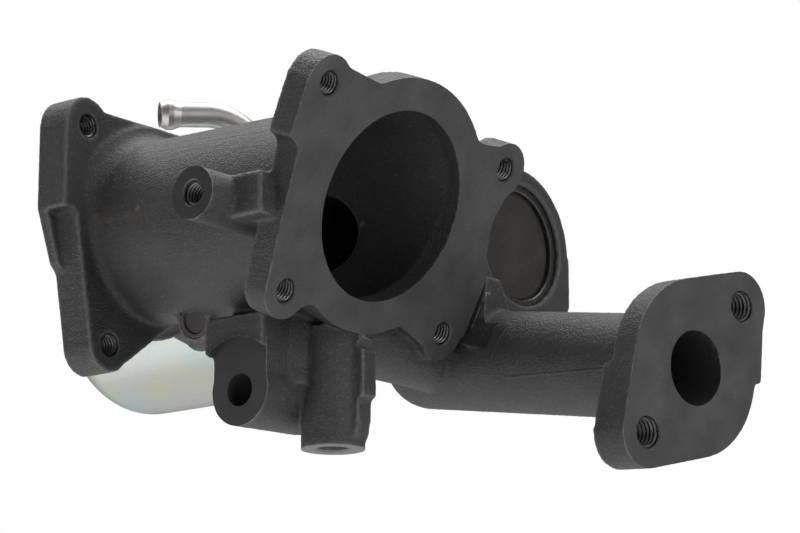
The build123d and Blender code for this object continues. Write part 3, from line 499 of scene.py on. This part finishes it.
# ---------------------------------------------------------------- the casting
VOXEL = 0.55 * MM
SMOOTHING = 10              # passes
OVERLAP = 4.0               # how far machined faces are raised before they are cut flat, in mm
SPOT_OVERLAP = 2.2          # the same for the spot face on the foot
FACE_LIMIT = 0.02           # a face nearer than this to a plane lies in it, in mm
GRAIN_SIZE = 1.7            # in mm
GRAIN_DEPTH = 0.025         # in mm, root mean square
GRAIN_WAVES = 40
GRAIN_SPREAD = (0.6, 1.6)   # waves per grain
WAVES_RMS = 4.5             # root mean square of the waves' sum
# The last index is a brighter copy of the machined finish: painted bounce light from the table on the bottom
# boss's downward face.
CAST, MACHINED, COATED, PAINTED_LIGHT = 0, 1, 2, 3       # material indices of the finishes
# part of the intake plane that the flange fills, clear of the rib, the web and the pipe
INTAKE_AREA = [(-50, -36.5), (35, -36.5), (41.9, -30.5), (43.5, -27.4),
               (45.3, -10.5), (50, 2), (50, 45), (-50, 45)]
GROOVE = [(41.3, -28.3), (42.85, -27.3), (44.75, -10), (42.1, -5.8),
          (43.8, -5.0), (46.5, -9.8), (44.6, -28.1), (42.4, -29.8)]
GROOVE_DEPTH = 3.0
FLAT_DEPTH = 12.0           # how far a facing cutter reaches out from its plane
HOLE_MOUTH = 3.0            # how far a hole's cutter starts outside the face
SLEEVE_DEPTH = 18.0
PORT_DEPTH = 6.5
PORT_EDGE = 0.6             # bevel at the port's mouth
M6_EDGE = 0.5               # countersink added to a tapped hole's radius
M8_EDGE = 0.35
OUTLET_EDGE = 0.2


def raised_faces(bm, planes):
    """Extrudes the flat faces that lie on each plane, so that smoothing leaves their edges alone."""
    for matrix, reach, rise in planes:
        origin = matrix.translation
        normal = (matrix.to_3x3() @ Vector((0, 0, 1))).normalized()
        on_plane = [f for f in bm.faces if f.normal.dot(normal) > 0.9999
                    and abs((f.calc_center_median() - origin).dot(normal)) < FACE_LIMIT * MM
                    and (f.calc_center_median() - origin).length < reach * MM]
        made = bmesh.ops.extrude_face_region(bm, geom=on_plane)
        verts = [g for g in made["geom"] if isinstance(g, bmesh.types.BMVert)]
        bmesh.ops.translate(bm, verts=verts, vec=normal * rise * MM)
        bmesh.ops.delete(bm, geom=on_plane, context="FACES")


def grained(mesh):
    """Moves the skin in and out like sand-cast metal, by a sum of waves in seeded directions."""
    count = len(mesh.vertices)
    co = np.zeros(count * 3, np.float32)
    mesh.vertices.foreach_get("co", co)
    normals = np.zeros(count * 3, np.float32)
    mesh.vertex_normals.foreach_get("vector", normals)
    co = co.reshape(-1, 3)
    scale = 1 / (GRAIN_SIZE * MM)
    wave = np.zeros(count, np.float32)
    rng = np.random.default_rng(7)
    for _ in range(GRAIN_WAVES):
        direction = rng.normal(size=3)
        direction /= np.linalg.norm(direction)
        wave += np.sin(co @ (direction * scale * tau * rng.uniform(*GRAIN_SPREAD)) + rng.uniform(0, tau))
    wave *= GRAIN_DEPTH * MM / WAVES_RMS
    co += normals.reshape(-1, 3) * wave[:, None]
    mesh.vertices.foreach_set("co", co.ravel())
    mesh.update()


def raw_casting(finishes):
    """The housing's skin, rounded and grained, with its machined faces left standing proud."""
    bm = bmesh.new()
    bm.from_mesh(nodes["housing"].data)
    bmesh.ops.remove_doubles(bm, verts=bm.verts, dist=WELD)
    raised_faces(bm, [(OUTLET, 80, OVERLAP), (INTAKE, 80, OVERLAP), (PIPE, 60, OVERLAP), (SIDE, 20, OVERLAP),
                      (FOOT_FACE, 25, SPOT_OVERLAP), (BELOW, 15, OVERLAP)])
    mesh = bpy.data.meshes.new("casting")
    bm.to_mesh(mesh)
    bm.free()
    for material in finishes:
        mesh.materials.append(material)
    mesh.polygons.foreach_set("material_index", [CAST] * len(mesh.polygons))
    piece = new_object("casting", mesh)
    remesh = piece.modifiers.new("remesh", "REMESH")
    remesh.mode = "VOXEL"
    remesh.voxel_size = VOXEL
    remesh.use_smooth_shade = True
    smooth = piece.modifiers.new("smooth", "SMOOTH")
    smooth.factor = 0.5
    smooth.iterations = SMOOTHING
    apply_modifiers(piece)
    grained(piece.data)
    return piece


def facing_cuts():
    """Cutters that bring the machined faces down to their planes."""
    cuts = [("prism", matrix, (outline, 0, FLAT_DEPTH), finish) for matrix, outline, finish in (
        (OUTLET, square(50), MACHINED), (INTAKE, INTAKE_AREA, MACHINED), (PIPE, square(40), MACHINED),
        # the bottom boss's face takes the brighter copy, painted bounce light
        (SIDE, square(12), COATED), (BELOW, square(11), PAINTED_LIGHT))]
    cuts.append(("turned", FOOT_FACE, [(0, 0), (SPOT_R, 0), (SPOT_R, FLAT_DEPTH), (0, FLAT_DEPTH)], COATED))
    return cuts


def plain_hole(radius, depth):
    return [(0, HOLE_MOUTH), (radius, HOLE_MOUTH), (radius, -depth), (0, -depth)]


def hole_cuts():
    """Cutters for the groove, the tapped holes, and the bores of foot, sleeve and port."""
    cuts = [("prism", INTAKE, (GROOVE, -GROOVE_DEPTH, 8), CAST)]
    for matrix, places, r, depth, edge in (
            (INTAKE, INTAKE_HOLES, M6_R, 14.0, M6_EDGE), (PIPE, PIPE_HOLES, M8_R, 12.5, M8_EDGE),
            (SIDE, [(0, 0)], M6_R, 15.5, M6_EDGE), (OUTLET_BACK, OUTLET_HOLES, M6_R, 11.0, OUTLET_EDGE)):
        for u, v in places:
            profile = [(0, HOLE_MOUTH), (r + edge, HOLE_MOUTH), (r + edge, 0),
                       (r, -edge), (r, -depth), (0, -depth)]
            cuts.append(("turned", spot(matrix, u, v), profile, MACHINED))
    cuts.append(("turned", FOOT_FACE, plain_hole(FOOT_HOLE_R, FOOT_DEPTH), COATED))
    cuts.append(("turned", BELOW, plain_hole(SLEEVE_R, SLEEVE_DEPTH), COATED))
    mouth_r = PORT_BORE_R + PORT_EDGE
    cuts.append(("turned", PORT, [(0, 4), (mouth_r, 4), (mouth_r, 0), (PORT_BORE_R, -PORT_EDGE),
                                  (PORT_BORE_R, -PORT_DEPTH), (0, -PORT_DEPTH)], COATED))
    return cuts


def make_casting(finishes):
    piece = raw_casting(finishes)
    carve(piece, cutter(facing_cuts(), finishes))
    carve(piece, cutter(hole_cuts(), finishes))
    piece.data.set_sharp_from_angle(angle=radians(32))
    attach(piece, "valve_body")
    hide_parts("housing")


# ---------------------------------------------------------------- threads
THREAD_STEPS = 56           # points round one turn
THREAD_ROWS = 10            # rows of points in one turn
THREAD_BACKING = 0.15       # how far the sleeve reaches into the metal, in mm
RIDGE_HEIGHT = 0.58         # as a share of the pitch
CREST_SHARE = 0.4           # share of the ridge's height below which a face is root
RUN_OUT = 0.7               # turns over which the ridge fades at either end
INTAKE_THREADS = (7.4, 7.4, 7.4, 13.0)      # depths in mm, one for each hole
PIPE_THREADS = (7.3, 10.0)
OUTLET_THREAD = 9.6
SIDE_THREAD = 14.5
THREAD_START = 0.45         # below the face, at the foot of the countersink


def make_thread(name, matrix, radius, pitch, depth, start, materials):
    """Inner thread as a sleeve: ridges stand inward from the hole's wall, and its rows follow the helix."""
    bm = bmesh.new()
    ridge = RIDGE_HEIGHT * pitch
    end = start + depth
    rows = []
    for row in range(int(THREAD_ROWS * (depth / pitch + 1)) + 1):
        height = max(0.0, 1.2 - 2.6 * abs(row % THREAD_ROWS / THREAD_ROWS - 0.5)) * ridge
        line = []
        for k in range(THREAD_STEPS):
            z = start + (row / THREAD_ROWS - k / THREAD_STEPS) * pitch
            z = min(max(z, start), end)
            fade = min(1.0, (z - start) / (RUN_OUT * pitch), (end - z) / (RUN_OUT * pitch))
            r = radius - min(height, ridge) * fade
            a = tau * k / THREAD_STEPS
            line.append(bm.verts.new((r * cos(a), r * sin(a), -z)))
        rows.append(line)
    for row, (a, b) in enumerate(zip(rows, rows[1:])):
        for k in range(THREAD_STEPS - 1):
            bm.faces.new((a[k], a[k + 1], b[k + 1], b[k]))
        near, far = rows[max(row - THREAD_ROWS, 0)][0], rows[max(row + 1 - THREAD_ROWS, 0)][0]
        bm.faces.new(list(dict.fromkeys((a[-1], near, far, b[-1]))))
    bmesh.ops.remove_doubles(bm, verts=bm.verts, dist=1e-4)
    rims = [e for e in bm.edges if e.is_boundary]
    made = bmesh.ops.extrude_edge_only(bm, edges=rims)["geom"]
    for vert in [g for g in made if isinstance(g, bmesh.types.BMVert)]:
        vert.co.xy *= (radius + THREAD_BACKING) / vert.co.xy.length
    bmesh.ops.bridge_loops(bm, edges=[e for e in bm.edges if e.is_boundary])
    bmesh.ops.recalc_face_normals(bm, faces=bm.faces)
    for f in bm.faces:
        f.smooth = True
        # Faces near the hole's wall take the dark copy, painted shade in the grooves; the rest take the light
        # copy, painted highlight on the crests.
        f.material_index = 1 if radius - f.calc_center_median().xy.length < CREST_SHARE * ridge else 0
    bmesh.ops.transform(bm, matrix=matrix, verts=bm.verts)
    piece = new_piece(name, bm, "valve_body")
    for material in materials:
        piece.data.materials.append(material)
    piece.data.set_sharp_from_angle(angle=radians(50))


def make_threads(materials):
    """One thread for each tapped hole; the materials are those of crest and root: painted highlight and
    painted shade.
    """
    for k, ((u, v), depth) in enumerate(zip(INTAKE_HOLES, INTAKE_THREADS)):
        make_thread(f"thread_intake_{k}", spot(INTAKE, u, v), M6_R, M6_PITCH, depth, THREAD_START, materials)
    for k, (u, v) in enumerate(OUTLET_HOLES):
        make_thread(f"thread_outlet_{k}", spot(OUTLET_BACK, u, v), M6_R, M6_PITCH, OUTLET_THREAD, OUTLET_EDGE,
                    materials)
    for k, ((u, v), depth) in enumerate(zip(PIPE_HOLES, PIPE_THREADS)):
        make_thread(f"thread_pipe_{k}", spot(PIPE, u, v), M8_R, M8_PITCH, depth, M8_EDGE, materials)
    make_thread("thread_side", SIDE, M6_R, M6_PITCH, SIDE_THREAD, THREAD_START, materials)


# ---------------------------------------------------------------- the spring, and the diaphragm that parts as the valve opens
DIAPHRAGM_HUB_R = 18.3      # in mm; inside this the diaphragm is clamped between cup and washer


def make_spring():
    """The return spring, copied from the CAD part as one fixed piece of the body."""
    piece = new_object("spring_coil", nodes["return_spring"].data.copy(), "valve_body")
    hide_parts("return_spring")
    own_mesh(piece)


def make_diaphragm():
    """The diaphragm in two pieces: its clamped centre moves with the stem, its roll and rim stay.

    They part as the valve opens, by the stroke at the end of it.
    """
    halves = (("diaphragm_hub", "valve_stem", True), ("diaphragm_roll", "valve_body", False))
    for name, body, wants_hub in halves:
        bm = bmesh.new()
        bm.from_mesh(nodes["diaphragm"].data)
        bmesh.ops.remove_doubles(bm, verts=bm.verts, dist=WELD)
        other = []
        for face in bm.faces:
            centre = face.calc_center_median() / MM
            in_hub = Vector((centre.y - VALVE_Y, centre.z - VALVE_Z)).length < DIAPHRAGM_HUB_R
            if in_hub != wants_hub:
                other.append(face)
        bmesh.ops.delete(bm, geom=other, context="FACES")
        bmesh.ops.bridge_loops(bm, edges=[e for e in bm.edges if e.is_boundary])
        bmesh.ops.recalc_face_normals(bm, faces=bm.faces)
        piece = new_piece(name, bm, body)
        piece.data.materials.append(MATERIALS["rubber"])
        piece.data.shade_smooth()
        piece.data.set_sharp_from_angle(angle=radians(35))
        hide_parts("diaphragm")


# ---------------------------------------------------------------- stage
STAGE_CENTRE = (0.07, 0.02, -0.02)
# name, place, size, power
LAMPS = [
    ("key", (-0.45, -0.05, 1.0), (0.8, 0.8), 7.5),
    ("top", (0.1, 0.3, 0.9), (0.9, 0.6), 7),
    ("right", (1.0, 0.0, 0.0), (0.5, 0.8), 4.4),
    ("table", (-0.05, -0.15, -0.25), (0.6, 0.6), 1.1),
]
SKY_COLOUR = (0.97, 0.985, 1.0, 1)
SKY_STRENGTH = 0.19
FLOOR_Z = -0.26
FLOOR_HALF = 3.0
FLOOR_GREY = 0.86
FLOOR_GLOW = 0.5            # seen by the camera alone


def make_camera():
    camera = bpy.data.cameras.new("camera")
    camera.lens = FOCAL_MM
    camera.sensor_width = SENSOR_MM
    camera.clip_start = 0.05
    camera.clip_end = 20
    eye = bpy.data.objects.new("camera", camera)
    axes = Matrix((CAMERA_RIGHT, CAMERA_UP, CAMERA_BACK)).transposed()
    eye.matrix_world = Matrix.Translation(Vector(CAMERA_AT) * MM) @ axes.to_4x4()
    bpy.context.scene.collection.objects.link(eye)
    bpy.context.scene.camera = eye


def area_light(name, place, size, power):
    lamp = bpy.data.lights.new(name, "AREA")
    lamp.shape = "RECTANGLE"
    lamp.size, lamp.size_y = size
    lamp.energy = power
    holder = bpy.data.objects.new(name, lamp)
    holder.location = place
    holder.rotation_euler = (Vector(STAGE_CENTRE) - Vector(place)).to_track_quat("-Z", "Y").to_euler()
    bpy.context.scene.collection.objects.link(holder)


def make_world():
    """White where the camera sees it, and a weak sky as light."""
    world = bpy.data.worlds.new("studio")
    bpy.context.scene.world = world
    world.use_nodes = True
    tree = world.node_tree
    tree.nodes.clear()
    out = tree.nodes.new("ShaderNodeOutputWorld")
    seen = tree.nodes.new("ShaderNodeBackground")
    seen.inputs["Color"].default_value = (1, 1, 1, 1)
    lit = tree.nodes.new("ShaderNodeBackground")
    lit.inputs["Color"].default_value = SKY_COLOUR
    lit.inputs["Strength"].default_value = SKY_STRENGTH
    path = tree.nodes.new("ShaderNodeLightPath")
    mix = tree.nodes.new("ShaderNodeMixShader")
    tree.links.new(path.outputs["Is Camera Ray"], mix.inputs["Fac"])
    tree.links.new(lit.outputs[0], mix.inputs[1])
    tree.links.new(seen.outputs[0], mix.inputs[2])
    tree.links.new(mix.outputs[0], out.inputs["Surface"])


def make_floor():
    bm = bmesh.new()
    bmesh.ops.create_grid(bm, x_segments=1, y_segments=1, size=FLOOR_HALF)
    mesh = bpy.data.meshes.new("floor")
    bm.to_mesh(mesh)
    bm.free()
    floor = new_object("floor", mesh)
    floor.location.z = FLOOR_Z
    shade = Shader("floor", 0.8)
    shade.bsdf.inputs["Base Color"].default_value = (FLOOR_GREY, FLOOR_GREY, FLOOR_GREY, 1)
    shade.bsdf.inputs["Emission Color"].default_value = (1, 1, 1, 1)
    seen_by = shade.tree.nodes.new("ShaderNodeLightPath")
    glow = shade.math("MULTIPLY", seen_by.outputs["Is Camera Ray"], FLOOR_GLOW)
    shade.link(glow, shade.bsdf.inputs["Emission Strength"])
    mesh.materials.append(shade.material)


def make_stage():
    make_world()
    make_floor()
    for name, place, size, power in LAMPS:
        area_light(name, place, size, power)
    bpy.context.scene.view_settings.view_transform = "Standard"


# ---------------------------------------------------------------- build
CAST_IRON = cast_iron()
MACHINED_IRON = machined_iron("machined_iron", 0.050, 0.078)
COATED_IRON = machined_iron("coated_iron", 0.022, 0.032, 0.0)
# A brighter copy of the machined finish for the bottom boss's downward face: painted bounce light from the
# table below.
PAINTED_LIGHT_IRON = machined_iron("painted_light_iron", 0.13, 0.18)
# Light and dark copies of the thread's iron: painted highlight on the crests, painted shade in the grooves.
THREAD = thread_steel("thread_crest_highlight", 0.13)
THREAD_ROOT_SHADE = thread_steel("thread_root_shade", 0.012)
MATERIALS = {
    "hard_steel": plain_metal("hard_steel", (0.26, 0.26, 0.27), (0.4, 0.4, 0.41)),
    "plain_steel": plain_metal("plain_steel", (0.034, 0.032, 0.028), (0.062, 0.058, 0.048), 0.45, 0.6, 0.5),
    "bright_steel": plain_metal("bright_steel", (0.5, 0.49, 0.47), (0.68, 0.67, 0.65), 0.25),
    "bronze": plain_metal("bronze", (0.42, 0.28, 0.13), (0.55, 0.38, 0.2)),
    "graphite": soft_black("graphite", 0.05),
    "zinc": zinc_plate(),
    "rubber": soft_black("rubber", 0.02),
    "spring_steel": plain_metal("spring_steel", (0.10, 0.10, 0.10), (0.17, 0.165, 0.16)),
    "stainless": brushed_stainless(),
    "copper": painted_plug(),
    "cast_iron_black": CAST_IRON,
}
NODE_MATERIALS = {
    "port_plug": blackened_steel(),
    "port_ring": plain_metal("ring_steel", (0.05, 0.05, 0.05), (0.11, 0.105, 0.10), 0.38, 0.8, 1.0),
    "locating_sleeve": plain_metal("dull_sleeve", (0.15, 0.15, 0.125), (0.23, 0.225, 0.19), 0.45, 0.7),
}
slots = {row["node"]: row["material_slot"] for row in frame["record"]["subparts"]}
for name, node in nodes.items():
    node.data.materials.clear()
    node.data.materials.append(NODE_MATERIALS.get(name, MATERIALS[slots[name]]))
    node.data.set_sharp_from_angle(angle=radians(30))

make_casting((CAST_IRON, MACHINED_IRON, COATED_IRON, PAINTED_LIGHT_IRON))
make_threads((THREAD, THREAD_ROOT_SHADE))
make_spring()
make_diaphragm()
make_camera()
make_stage()
